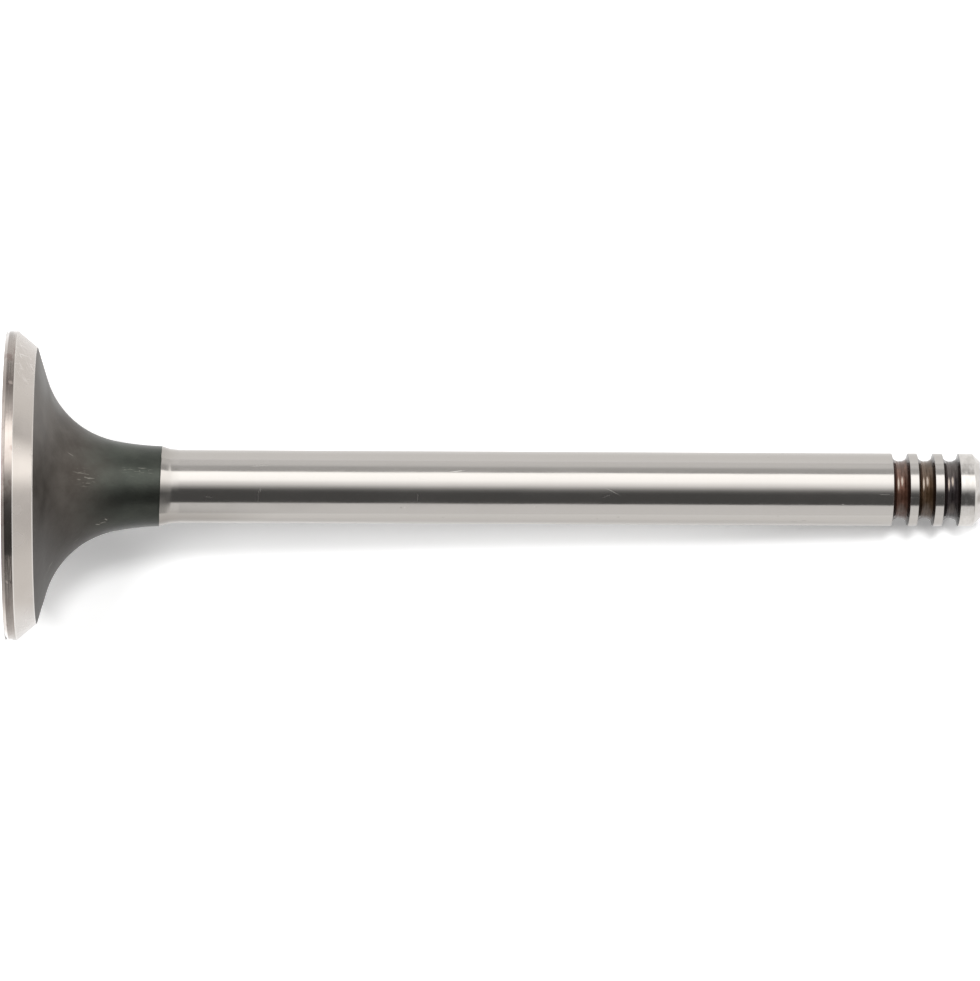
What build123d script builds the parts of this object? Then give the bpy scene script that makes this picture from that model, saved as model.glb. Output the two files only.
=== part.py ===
from build123d import *
import os
from math import cos, radians, sin, sqrt

# A poppet valve for a piston engine, forged and turned in one piece.
# It stands on its head: Z = 0 is the flat combustion face, and +Z runs up the stem to the tip.
# Lengths are in millimetres and angles in degrees.

OVERALL_LENGTH = 106.6       # combustion face to tip
HEAD_DIAMETER = 33.7
STEM_DIAMETER = 7.97         # ground, for a running fit in an 8 mm guide

# Rim of the head, from the combustion face up
FACE_CHAMFER = 0.35          # 45 degree edge break round the combustion face
MARGIN_HEIGHT = 1.2          # combustion face to the lower edge of the seat
SEAT_ANGLE = 50.0            # ground seat cone, from the plane of the face
SEAT_WIDTH = 2.78            # along the seat cone

# Tulip, from the seat up to the ground stem
UNDERHEAD_SLOPE = 17.0       # back of the head, from the plane of the face
UNDERHEAD_RADIUS = 9.7       # fillet between the back of the head and the throat
THROAT_RADIUS = 29.0         # long curve that runs the fillet out into the neck
THROAT_ANGLE = 11.4          # where the fillet meets the throat, from the axis
NECK_DRAFT = 3.0             # forging draft of the neck, from the axis
NECK_LENGTH = 0.8            # straight part of the neck, along its draft
GRIND_STEP = 0.39            # the forged neck stands this much proud of the ground stem
GRIND_RADIUS = 6.0           # run-out of the grinding wheel at the neck

# Keeper grooves and tip, placed down from the tip
GROOVE_COUNT = 3
GROOVE_RADIUS = 0.9          # round bead of the keepers
GROOVE_STANDOFF = 0.03       # centre of the round section, outside the stem's surface
GROOVE_PITCH = 2.76
TIP_TO_GROOVE = 3.6          # tip to the centre of the nearest groove
TIP_CHAMFER = 1.15           # at 45 degrees
TIP_BLEND = 0.15             # radius where the chamfer leaves the stem

FILLET_SHARE = 0.95          # most of the wall under the head that the fillet may take up

HEAD_RADIUS = HEAD_DIAMETER / 2
STEM_RADIUS = STEM_DIAMETER / 2
UNDERHEAD_ANGLE = 90 - UNDERHEAD_SLOPE


def spread(start_angle, end_angle):
    """Radius gained, per unit of arc radius, as a wall leans from one angle to the next."""
    return cos(radians(start_angle)) - cos(radians(end_angle))


def rim():
    """Combustion face, its edge break, the margin and the seat, as (radius, height) points."""
    seat = Vector(-SEAT_WIDTH * cos(radians(SEAT_ANGLE)), SEAT_WIDTH * sin(radians(SEAT_ANGLE)))
    margin_top = Vector(HEAD_RADIUS, MARGIN_HEIGHT)
    return Polyline(
        (0, 0),
        (HEAD_RADIUS - FACE_CHAMFER, 0),
        (HEAD_RADIUS, FACE_CHAMFER),
        margin_top,
        margin_top + seat,
    )


def tulip(seat_edge):
    """Back of the head, under-head fillet, throat and neck, tangent to one another."""
    neck_radius = STEM_RADIUS + GRIND_STEP
    throat_start = neck_radius + NECK_LENGTH * sin(radians(NECK_DRAFT))
    throat_end = throat_start + THROAT_RADIUS * spread(NECK_DRAFT, THROAT_ANGLE)
    room = seat_edge.X - throat_end
    fillet_spread = spread(THROAT_ANGLE, UNDERHEAD_ANGLE)
    fillet_radius = min(UNDERHEAD_RADIUS, FILLET_SHARE * room / fillet_spread)
    back_length = (room - fillet_radius * fillet_spread) / sin(radians(UNDERHEAD_ANGLE))

    back = PolarLine(seat_edge, back_length, 90 + UNDERHEAD_ANGLE)
    under = JernArc(back @ 1, back % 1, fillet_radius, THROAT_ANGLE - UNDERHEAD_ANGLE)
    throat = JernArc(under @ 1, under % 1, THROAT_RADIUS, NECK_DRAFT - THROAT_ANGLE)
    neck = PolarLine(throat @ 1, NECK_LENGTH, 90 + NECK_DRAFT)
    return Curve() + [back, under, throat, neck], neck @ 1


def stem(neck_edge):
    """Grinding run-out, ground stem, tip chamfer and tip face, back to the axis."""
    runout_height = sqrt(GRIND_RADIUS**2 - (GRIND_RADIUS - GRIND_STEP) ** 2)
    stem_start = Vector(STEM_RADIUS, neck_edge.Y + runout_height)
    runout = RadiusArc(neck_edge, stem_start, GRIND_RADIUS)
    shank = FilletPolyline(
        stem_start,
        (STEM_RADIUS, OVERALL_LENGTH - TIP_CHAMFER),
        (STEM_RADIUS - TIP_CHAMFER, OVERALL_LENGTH),
        radius=TIP_BLEND,
    )
    tip = Line(shank @ 1, (0, OVERALL_LENGTH))
    return Curve() + [runout, shank, tip]


def keeper_grooves():
    """Round sections cut into the stem below the tip, evenly spaced."""
    centre_radius = STEM_RADIUS + GROOVE_STANDOFF
    top_groove = OVERALL_LENGTH - TIP_TO_GROOVE
    heights = [top_groove - i * GROOVE_PITCH for i in range(GROOVE_COUNT)]
    return [Pos(centre_radius, height) * Circle(GROOVE_RADIUS) for height in heights]


def valve():
    """The whole valve: half its outline, less the groove sections, turned about its axis."""
    head = rim()
    cup, neck_edge = tulip(head @ 1)
    shaft = stem(neck_edge)
    axis = Line(shaft @ 1, head @ 0)
    outline = make_face(head + cup + shaft + axis)
    turned = Plane.XZ * (outline - keeper_grooves())
    return revolve(turned, Axis.Z)


os.makedirs("parts", exist_ok=True)
export_step(valve(), "parts/valve.step")
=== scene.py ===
# %% [markdown]
# # An engine valve
#
# The valve is one piece of steel: a round head with a ground seat, a flared neck left dark from the
# forge and the nitriding bath, a straight ground stem, and three keeper grooves near the tip.
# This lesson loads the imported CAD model, turns a finer copy of the same outline on a lathe made of
# a few lines of code, and gives each zone the finish that its machining step leaves behind.

# %% Load the frame
from math import atan2, cos, degrees, radians, sin, tan

import bpy
import numpy as np
from mathutils import Matrix, Vector, noise


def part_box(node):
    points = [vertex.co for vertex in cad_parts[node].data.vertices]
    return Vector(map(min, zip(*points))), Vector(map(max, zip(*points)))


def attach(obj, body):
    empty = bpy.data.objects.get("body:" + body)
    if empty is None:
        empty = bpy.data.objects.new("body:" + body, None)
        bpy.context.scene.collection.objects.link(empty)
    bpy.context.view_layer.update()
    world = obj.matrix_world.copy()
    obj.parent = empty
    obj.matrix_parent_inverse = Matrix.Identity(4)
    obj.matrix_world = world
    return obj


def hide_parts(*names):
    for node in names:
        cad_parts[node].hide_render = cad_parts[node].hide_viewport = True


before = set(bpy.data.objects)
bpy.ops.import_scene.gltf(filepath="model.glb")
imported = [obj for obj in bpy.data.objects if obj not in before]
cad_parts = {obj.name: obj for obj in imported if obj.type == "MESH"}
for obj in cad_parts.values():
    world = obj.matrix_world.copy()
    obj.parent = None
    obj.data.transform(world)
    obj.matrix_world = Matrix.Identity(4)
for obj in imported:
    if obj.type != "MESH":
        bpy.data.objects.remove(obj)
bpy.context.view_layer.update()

MM = 0.001

# %% [markdown]
# ## The outline
#
# A turned part is a half outline spun about its axis, so everything starts from that outline.
# It is written as the corners a turner would mark on the drawing, each with the radius that the tool
# leaves there. Large radii are real fillets, such as the one under the head; small ones are the edges
# of a ground part, which are never perfectly sharp and catch a thin line of light. All sizes are in
# millimetres, and the overall length and the head's diameter come from the CAD model's box.

# %% Driving sizes
low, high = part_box("valve")
LENGTH = (high.z - low.z) / MM
HEAD_RADIUS = min(high.x, high.y, -low.x, -low.y) / MM
STEM_RADIUS = 7.97 / 2

FACE_CHAMFER = 0.35
MARGIN_HEIGHT = 1.2
SEAT_ANGLE = radians(50)
SEAT_WIDTH = 2.78

UNDERHEAD_ANGLE = radians(90 - 17)
UNDERHEAD_RADIUS = 9.7
THROAT_RADIUS = 29.0
THROAT_ANGLE = radians(11.4)
NECK_DRAFT = radians(3)
NECK_LENGTH = 0.8
GRIND_STEP = 0.39
GRIND_RADIUS = 6.0

GROOVE_COUNT = 3
GROOVE_HALF_WIDTH = 0.9
GROOVE_DEPTH = 0.87
GROOVE_PITCH = 2.76
TIP_TO_GROOVE = 3.6
TIP_CHAMFER = 1.15
TIP_BLEND = 0.15

print(f"length {LENGTH:.2f}, head radius {HEAD_RADIUS:.3f}, stem radius {STEM_RADIUS:.3f} mm")

# %% [markdown]
# Each corner is (radius from the axis, height, tool radius, zone of the surface that follows it).
# The neck's two fillets are tangent to one another, so the corner between them is found from their
# tangent lengths rather than guessed.

# %% Corners of the head and the neck
FINE_EDGE = 0.04
SOFT_EDGE = 0.08

seat_top = (
    HEAD_RADIUS - SEAT_WIDTH * cos(SEAT_ANGLE),
    MARGIN_HEIGHT + SEAT_WIDTH * sin(SEAT_ANGLE),
)


def spread(start, end):
    """Radius gained, per unit of arc radius, as a wall leans from one angle to the next."""
    return cos(start) - cos(end)


def step(point, length, angle):
    """A point moved up the outline and towards the axis, at an angle from the axis."""
    return (point[0] - length * sin(angle), point[1] + length * cos(angle))


neck_radius = STEM_RADIUS + GRIND_STEP
throat_start = neck_radius + NECK_LENGTH * sin(NECK_DRAFT)
throat_end = throat_start + THROAT_RADIUS * spread(NECK_DRAFT, THROAT_ANGLE)
fillet_end = throat_end + UNDERHEAD_RADIUS * spread(THROAT_ANGLE, UNDERHEAD_ANGLE)
back_length = (seat_top[0] - fillet_end) / sin(UNDERHEAD_ANGLE)
fillet_tangent = UNDERHEAD_RADIUS * tan((UNDERHEAD_ANGLE - THROAT_ANGLE) / 2)
throat_tangent = THROAT_RADIUS * tan((THROAT_ANGLE - NECK_DRAFT) / 2)

under_corner = step(seat_top, back_length + fillet_tangent, UNDERHEAD_ANGLE)
throat_corner = step(under_corner, fillet_tangent + throat_tangent, THROAT_ANGLE)
neck_top = step(throat_corner, throat_tangent + NECK_LENGTH, NECK_DRAFT)
print(f"seat top {seat_top[0]:.3f}, {seat_top[1]:.3f}; neck top {neck_top[0]:.3f}, {neck_top[1]:.3f} mm")

# %% [markdown]
# The walk round the outline starts at the middle of the combustion face and ends at the middle of the
# tip. Where the stem starts, the grinding wheel ran out of the steel and left its own round shape. A
# keeper groove is four corners: two at its lips and two at its floor, and the floor's radius is the
# round nose of the tool that plunged in.

# %% Corners of the whole outline
GROOVES = [f"groove_{i + 1}" for i in range(GROOVE_COUNT)]
GROOVE_FLOOR = STEM_RADIUS - GROOVE_DEPTH

runout_rise = (GRIND_RADIUS**2 - (GRIND_RADIUS - GRIND_STEP) ** 2) ** 0.5
runout_turn = np.arccos((GRIND_RADIUS - GRIND_STEP) / GRIND_RADIUS)
runout_corner = neck_top[1] + runout_rise - GRIND_RADIUS * tan(runout_turn / 2)


def groove_middle(index):
    """Height of a groove's middle; the groove nearest the head is number 0."""
    return LENGTH - TIP_TO_GROOVE - (GROOVE_COUNT - 1 - index) * GROOVE_PITCH


corners = [
    (0, 0, 0, "face"),
    (HEAD_RADIUS - FACE_CHAMFER, 0, SOFT_EDGE, "margin"),
    (HEAD_RADIUS, FACE_CHAMFER, SOFT_EDGE, "margin"),
    (HEAD_RADIUS, MARGIN_HEIGHT, SOFT_EDGE, "seat"),
    (*seat_top, FINE_EDGE, "tulip"),
    (*under_corner, UNDERHEAD_RADIUS, "tulip"),
    (*throat_corner, THROAT_RADIUS, "tulip"),
    (*neck_top, FINE_EDGE, "stem"),
    (STEM_RADIUS, runout_corner, GRIND_RADIUS, "stem"),
]
for i, groove in enumerate(GROOVES):
    bottom = groove_middle(i) - GROOVE_HALF_WIDTH
    top = groove_middle(i) + GROOVE_HALF_WIDTH
    corners += [
        (STEM_RADIUS, bottom, FINE_EDGE, groove),
        (GROOVE_FLOOR, bottom, GROOVE_DEPTH, groove),
        (GROOVE_FLOOR, top, GROOVE_DEPTH, groove),
        (STEM_RADIUS, top, FINE_EDGE, "stem" if groove != GROOVES[-1] else "tip"),
    ]
corners += [
    (STEM_RADIUS, LENGTH - TIP_CHAMFER, TIP_BLEND, "tip"),
    (STEM_RADIUS - TIP_CHAMFER, LENGTH, SOFT_EDGE, "tip"),
    (0, LENGTH, 0, "tip"),
]
print(len(corners), "corners from the combustion face to the tip")

# %% [markdown]
# ## From corners to points
#
# Each corner becomes a true arc between its two tangent points, and each straight run is divided into
# steps that suit its zone: close together where the forging is uneven, far apart along the stem. An
# arc that doesn't fit between its neighbours is made smaller, and two points that fall together are
# kept as one. Every point keeps the direction that the surface faces there, so that the shading is
# exact and a long flat beside a tiny edge radius doesn't look pillowed.

# %% Sample the outline
STEP = {"face": 1.4, "margin": 0.2, "seat": 0.2, "tulip": 0.3, "stem": 1.5, "tip": 0.4}
GROOVE_STEP = 0.14
ARC_TURN = radians(20)
SAME_POINT = 1e-4
NO_LENGTH = 1e-9


def sample_outline(corners):
    """Points, facing directions and zones along the outline, arcs and straight runs alike."""
    places = np.array([corner[:2] for corner in corners], float)
    sides = np.diff(places, axis=0)
    lengths = np.linalg.norm(sides, axis=1)
    ways = sides / lengths[:, None]

    # how far the outline turns at each corner, and how much of its sides the arc there takes up
    turns = np.zeros(len(corners))
    for i in range(1, len(corners) - 1):
        a, b = ways[i - 1], ways[i]
        turns[i] = atan2(a[0] * b[1] - a[1] * b[0], a @ b)
    tangents = np.array([c[2] * abs(tan(t / 2)) for c, t in zip(corners, turns)])
    shares = lengths / np.maximum(tangents[:-1] + tangents[1:], NO_LENGTH)
    for i in range(1, len(corners) - 1):
        tangents[i] *= min(1, shares[i - 1], shares[i])

    points, facing, zones = [], [], []

    def add(point, way, zone):
        points.append(point)
        facing.append((way[1], -way[0]))
        zones.append(zone)

    for i, corner in enumerate(corners[:-1]):
        zone = corner[3]
        spacing = STEP.get(zone, GROOVE_STEP)
        start = places[i] + ways[i] * tangents[i]
        if turns[i]:
            radius = tangents[i] / abs(tan(turns[i] / 2))
            arc = abs(turns[i])
            arc_steps = int(np.ceil(max(arc / ARC_TURN, radius * arc / spacing)))
            way = ways[i - 1]
            side = np.array((-way[1], way[0])) * np.sign(turns[i])
            begin = places[i] - way * tangents[i]
            for k in range(1, arc_steps):
                angle = arc * k / arc_steps
                point = begin + radius * (way * sin(angle) + side * (1 - cos(angle)))
                add(point, way * cos(angle) + side * sin(angle), zone)
        end = places[i + 1] - ways[i] * tangents[i + 1]
        run = np.linalg.norm(end - start)
        steps = max(1, round(run / spacing))
        for k in range(1 if run < SAME_POINT else steps + 1):
            add(start + (end - start) * k / steps, ways[i], zone)
    return np.array(points), np.array(facing), zones


points, facing, zones = sample_outline(corners)
print(len(points), "points along the outline, in zones", sorted(set(zones)))

# %% [markdown]
# ## Turning the skin
#
# A lathe turns perfect circles, but this valve was forged first and only partly machined. The forged
# tulip keeps a faint unevenness, the edges of the seat carry a few small knocks, and the line where the
# grinding wheel stopped runs slightly out of square. All three are pushed into the real surface here.
# A knock is its turn from the front in degrees, then its distance from the axis, its height, its size
# and its depth in millimetres. The forging's waves fade out over a few rows at both ends of the tulip.

# %% Spin the outline into a skin
SEGMENTS = 352
WHEEL_TILT = 0.155
WHEEL_REACH = 1.6
WHEEL_RAGGED = 0.045
RAGGED_WAVES = 4
RAGGED_LAYER = 7
FORGE_WAVE = 0.014
FORGE_WAVE_SIZE = 3.0
FINER_WAVE = 2.3
FADE_ROWS = 6
NEAR_AXIS = 0.5
KNOCKS = [
    (52, 16.05, 2.15, 0.30, 0.05),
    (41, 16.80, 1.10, 0.22, 0.07),
    (-60, 16.70, 1.40, 0.20, 0.06),
    (-74, 15.60, 2.70, 0.26, 0.05),
    (-38, 16.75, 0.80, 0.16, 0.04),
    (12, 15.10, 3.30, 0.18, 0.04),
    (118, 16.80, 1.20, 0.25, 0.07),
    (163, 15.60, 2.70, 0.30, 0.05),
    (231, 16.75, 1.25, 0.22, 0.06),
]


def smooth_fall(distance, reach):
    """One at no distance, easing down to nothing at the reach."""
    share = np.clip(np.abs(distance) / reach, 0, 1)
    return 1 - share * share * (3 - 2 * share)


def turned_skin(points, facing, zones):
    """Grids of places and normals: one row for every outline point, one column for every turn step."""
    turn = np.arange(SEGMENTS) * 2 * np.pi / SEGMENTS + np.pi / 2
    around, across = np.cos(turn), np.sin(turn)
    path = np.concatenate(([0], np.cumsum(np.linalg.norm(np.diff(points, axis=0), axis=1))))
    reach, height = points[:, :1], points[:, 1:]
    forged = np.array([zone == "tulip" for zone in zones])

    # how far each point is pushed in: first by the forging's waves, then by the knocks
    inward = np.zeros((len(points), SEGMENTS))
    for i in np.flatnonzero(forged):
        for j in range(SEGMENTS):
            place = Vector((reach[i, 0] * around[j], reach[i, 0] * across[j], height[i, 0]))
            coarse = place / FORGE_WAVE_SIZE
            wave = noise.noise(coarse) + 0.5 * noise.noise(coarse * FINER_WAVE)
            inward[i, j] = FORGE_WAVE * (1 + wave)
    from_start, to_end = np.cumsum(forged), np.cumsum(forged[::-1])[::-1]
    fade = np.clip(from_start / FADE_ROWS, 0, 1) * np.clip(to_end / FADE_ROWS, 0, 1)
    inward *= (fade * forged)[:, None]
    for angle, knock_reach, knock_height, size, depth in KNOCKS:
        knock_x = -knock_reach * sin(radians(angle))
        knock_y = -knock_reach * cos(radians(angle))
        apart = np.sqrt((reach * around - knock_x) ** 2 + (reach * across - knock_y) ** 2
                        + (height - knock_height) ** 2)
        inward += depth * smooth_fall(apart, size)

    # the rows near the wheel's stop move up or down, more on one side than on the other
    ragged = np.array([noise.noise(Vector((RAGGED_WAVES * a, RAGGED_WAVES * b, RAGGED_LAYER)))
                       for a, b in zip(around, across)])
    stop_line = WHEEL_RAGGED * ragged - WHEEL_TILT * around
    shift = stop_line[None, :] * smooth_fall(height - neck_top[1], WHEEL_REACH)
    new_reach = reach - inward * facing[:, :1]
    new_height = height - inward * facing[:, 1:] + shift
    places = np.stack([new_reach * around, new_reach * across, new_height], axis=-1) * MM

    # the slopes of the push along the outline and round the axis tip the exact normals
    along = np.gradient(inward, path, axis=0)
    about = (np.roll(inward, -1, 1) - np.roll(inward, 1, 1)) / (4 * np.pi / SEGMENTS)
    about /= np.maximum(reach, NEAR_AXIS)
    tangent = np.stack([-facing[:, 1], facing[:, 0]], axis=1)
    out = facing[:, :1] + along * tangent[:, :1]
    up = facing[:, 1:] + along * tangent[:, 1:]
    normals = np.stack([out * around - about * across, out * across + about * around, up], axis=-1)
    return places, normals / np.linalg.norm(normals, axis=-1, keepdims=True)


places, normals = turned_skin(points, facing, zones)
print("skin grid:", places.shape[:2], "deepest knock is", max(knock[4] for knock in KNOCKS), "mm")

# %% [markdown]
# The two ends close with a fan of triangles round a single middle point. Every other face is a quad,
# and each one belongs to the finish of the outline point where it starts.

# %% Build the valve's mesh
FINISHES = ["face", "margin", "seat", "tulip", "stem", *GROOVES, "tip"]


def valve_mesh(name, places, normals, zones):
    """Joins the grid into one closed mesh with exact normals and one material slot a finish."""
    last = len(places) - 1
    rings = places[1:last].reshape(-1, 3)
    vertices = [tuple(places[0, 0]), *map(tuple, rings), tuple(places[last, 0])]
    corner_normals = [(0, 0, -1), *map(tuple, normals[1:last].reshape(-1, 3)), (0, 0, 1)]
    top = len(vertices) - 1
    last_ring = top - SEGMENTS
    faces, finishes = [], []
    for j in range(SEGMENTS):
        k = (j + 1) % SEGMENTS
        faces.append((0, 1 + k, 1 + j))
        finishes.append(zones[0])
        for i in range(last - 2):
            a, b = 1 + i * SEGMENTS, 1 + (i + 1) * SEGMENTS
            faces.append((a + j, a + k, b + k, b + j))
            finishes.append(zones[i + 1])
        faces.append((last_ring + j, last_ring + k, top))
        finishes.append(zones[last])
    mesh = bpy.data.meshes.new(name)
    mesh.from_pydata(vertices, [], faces)
    mesh.polygons.foreach_set("material_index", [FINISHES.index(finish) for finish in finishes])
    mesh.polygons.foreach_set("use_smooth", [True] * len(faces))
    mesh.update()
    mesh.normals_split_custom_set_from_vertices(corner_normals)
    return mesh


mesh = valve_mesh("valve_skin", places, normals, zones)
valve = bpy.data.objects.new("valve_skin", mesh)
bpy.context.scene.collection.objects.link(valve)
triangles = sum(len(face.vertices) - 2 for face in mesh.polygons)
print(len(mesh.vertices), "points,", triangles, "triangles")

# %% [markdown]
# ## Finishes
#
# Each machining step leaves its own surface, so each zone gets its own material. A Blender material is
# a small graph of nodes: one helper adds a node with its settings and links, and another turns the
# usual hex colours into the linear values that light adds up in. The colour mixing node has its own
# sockets for numbers, vectors and colours, so the colour ones get short names here.

# %% Helpers for colour and nodes
SHARE, FIRST, SECOND, MIXED = 0, 6, 7, 2
SMOOTH = {"interpolation_type": "SMOOTHSTEP"}


def srgb(hex_colour):
    """A hex colour as linear red, green, blue and a full alpha."""
    parts = [int(hex_colour[i:i + 2], 16) / 255 for i in (1, 3, 5)]
    return (*[c / 12.92 if c <= 0.04045 else ((c + 0.055) / 1.055) ** 2.4 for c in parts], 1)


def add_node(tree, kind, inputs=None, **settings):
    """Adds one node and gives back its outputs; an input is a value or the output of another node."""
    node = tree.nodes.new(kind)
    for name, value in settings.items():
        setattr(node, name, value)
    for key, value in (inputs or {}).items():
        socket = node.inputs[key]
        if isinstance(value, bpy.types.NodeSocket):
            tree.links.new(value, socket)
        else:
            socket.default_value = value
    return node.outputs


def new_material(name):
    """An empty material and its tree of nodes."""
    material = bpy.data.materials.new(name)
    material.use_nodes = True
    material.node_tree.nodes.clear()
    return material, material.node_tree


print("steel grey in linear values:", [round(c, 3) for c in srgb("#BAB6B2")[:3]])

# %% [markdown]
# Three patterns come back in several finishes. Grain is noise stretched to a real spacing, a mark is one
# soft spot at a place on the skin, and the strongest of several marks makes them one mask. All of them
# count in millimetres, from the object's own coordinates, so they stay put on the valve. Noise seldom
# leaves the middle of its range, so patches are cut from that span.

# %% Patterns in millimetres
NOISE_SPAN = {"From Min": 0.3, "From Max": 0.7}
NOISE_HIGH = {"From Min": 0.35, "From Max": 0.7}


def in_millimetres(tree):
    """Places on the object, counted in millimetres."""
    place = add_node(tree, "ShaderNodeTexCoord")["Object"]
    return add_node(tree, "ShaderNodeMapping", {"Vector": place, "Scale": [1 / MM] * 3})["Vector"]


def grain(tree, place, spacing, detail=2.0, roughness=0.5):
    """Noise whose grains are spacing mm wide along x, y and z."""
    fitted = add_node(tree, "ShaderNodeMapping", {"Vector": place, "Scale": [1 / s for s in spacing]})
    settings = {"Vector": fitted["Vector"], "Scale": 1.0, "Detail": detail, "Roughness": roughness}
    return add_node(tree, "ShaderNodeTexNoise", settings)["Fac"]


def mark(tree, place, turn, height, reach, size, tilt=0.0, soft=0.7):
    """A soft spot on the skin: turn degrees round from the front, height and reach in mm.

    Its size is its half width round the axis, its half depth and its half height, and tilt turns it.
    """
    angle = radians(turn)
    centre = (-reach * sin(angle), -reach * cos(angle), height)
    settings = {"Vector": place, "Location": centre, "Rotation": (0, radians(tilt), -angle), "Scale": size}
    local = add_node(tree, "ShaderNodeMapping", settings, vector_type="TEXTURE")["Vector"]
    away = add_node(tree, "ShaderNodeVectorMath", {0: local}, operation="LENGTH")["Value"]
    fall = {"Value": away, "From Min": 1.0, "From Max": 1.0 - soft}
    return add_node(tree, "ShaderNodeMapRange", fall, **SMOOTH)["Result"]


def strongest(tree, masks):
    """One mask that is as strong as the strongest of several."""
    total = masks[0]
    for extra in masks[1:]:
        total = add_node(tree, "ShaderNodeMath", {0: total, 1: extra}, operation="MAXIMUM")["Value"]
    return total


print("patterns ready: grain, mark, strongest")

# %% [markdown]
# A finish is put together in the same three steps each time. Its colour is a base under layers of wear,
# oil or haze, each laid where its mask is and never stronger than its share. Its gloss and its relief are
# sums of patterns. And it ends with that relief, so many thousandths of a millimetre deep, under a shader
# that takes the colour, the gloss and the metal.

# %% Steps of a finish
def layered(tree, colour, *layers):
    """A colour under layers; a layer is its mask, its greatest share and its own colour."""
    for mask, share, shade in layers:
        if share != 1:
            mask = add_node(tree, "ShaderNodeMath", {0: mask, 1: share}, operation="MULTIPLY")["Value"]
        mix = {SHARE: mask, FIRST: colour, SECOND: shade}
        colour = add_node(tree, "ShaderNodeMix", mix, data_type="RGBA")[MIXED]
    return colour


def summed(tree, total, *extras):
    """A pattern plus others; each of those comes with the amount that it counts for."""
    for pattern, amount in extras:
        terms = {0: pattern, 1: amount, 2: total}
        total = add_node(tree, "ShaderNodeMath", terms, operation="MULTIPLY_ADD")["Value"]
    return total


def lay_skin(tree, colour, gloss, height, depth, strength=1.0, metallic=1.0):
    """Ends a finish: depth is its relief in mm for a height of one, and gloss its roughness."""
    bumps = {"Height": height, "Distance": depth * MM, "Strength": strength}
    relief = add_node(tree, "ShaderNodeBump", bumps)["Normal"]
    skin = {"Base Color": colour, "Metallic": metallic, "Roughness": gloss, "Normal": relief}
    shader = add_node(tree, "ShaderNodeBsdfPrincipled", skin)["BSDF"]
    add_node(tree, "ShaderNodeOutputMaterial", {"Surface": shader})


print("steps ready: layered, summed, lay_skin")

# %% [markdown]
# ### Wear on the stem
#
# Handling leaves a few hair scratches and pits. Each row is one of them: its turn round the stem in
# degrees, its height, half width and half height in millimetres, and its tilt in degrees. A long darker
# streak on the lower side near the neck is painted shade.

# %% Marks on the stem
HAIR_SCRATCHES = [
    (-5, 27.6, 0.40, 0.07, 0), (-16, 27.4, 1.20, 0.05, 4), (35, 27.6, 0.10, 1.30, -6),
    (-12, 44.6, 0.05, 0.06, 0), (-16, 44.7, 0.65, 0.05, 4), (-34, 43.3, 0.10, 0.10, 0),
    (-31, 57.4, 0.13, 0.12, 0), (-6, 66.0, 0.07, 1.30, 28), (-13, 65.2, 0.06, 0.80, -22),
    (-17, 22.0, 0.10, 0.70, 8), (26, 49.0, 0.08, 1.10, -8), (-25, 91.0, 0.10, 0.22, 0),
    (12, 45.2, 0.05, 1.10, 10), (-8, 95.6, 0.05, 1.00, 3), (-12, 97.9, 0.12, 1.40, 4),
    (96, 40.0, 0.09, 1.40, 24), (140, 72.0, 0.08, 1.80, -12), (-122, 55.0, 0.09, 1.20, 31),
    (176, 30.0, 0.10, 1.50, -20), (-85, 78.0, 0.07, 1.00, 14),
]
SMALL_PITS = [
    (-52, 66.6, 0.13, 0.16, 0), (-57, 64.3, 0.10, 0.13, 0), (-34, 42.9, 0.14, 0.12, 0),
    (-55, 47.5, 0.12, 0.12, 0), (-60, 86.9, 0.10, 0.40, 0), (-64, 85.8, 0.09, 0.60, 0),
    (-48, 84.0, 0.10, 0.12, 0), (150, 60.0, 0.14, 0.16, 0), (60, 83.0, 0.12, 0.12, 0),
]
MARK_DEPTH = 0.6
# Place and size of a painted streak of shade on the lower side near the neck.
FOOT_STREAK_TURN = -62
FOOT_STREAK_HEIGHT = neck_top[1] + 2
FOOT_STREAK_SIZE = (2.2, 3.0, 15.0)


def marks_on_stem(tree, place, rows):
    """All the marks of one list: turn, height, half width, half height and tilt of each."""
    return strongest(tree, [mark(tree, place, turn, height, STEM_RADIUS, (wide, MARK_DEPTH, tall), tilt)
                            for turn, height, wide, tall, tilt in rows])


print(len(HAIR_SCRATCHES), "scratches and", len(SMALL_PITS), "pits on the stem")

# %% [markdown]
# ### Ground valve steel
#
# The stem runs in a guide with a few hundredths of a millimetre to spare, so it is centreless ground:
# a fine wheel turns against it and leaves very fine lines round and round. They are too fine to see one
# by one, so the lines here are coarser and far shallower than they are wide. What the eye gets is a
# bright steel with crisp bands of light along it, which waver a little where the wheel did. Its colour
# also carries painted shade: the two sides that face up and down in the render are painted darker,
# and the foot of the stem, where the wheel ran out, is painted a shade darker and browner all round.

# %% Ground stem
GRINDING_LINE = 0.14
FOOT_BAND_LENGTH = 2.4
# The stem's sides are painted darker from this distance off the axis, as painted shade.
EDGE_SHADE_FROM = 2.8
EDGE_SHADE_SHARE = 0.3
FOOT_STREAK_SHARE = 0.5


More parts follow.
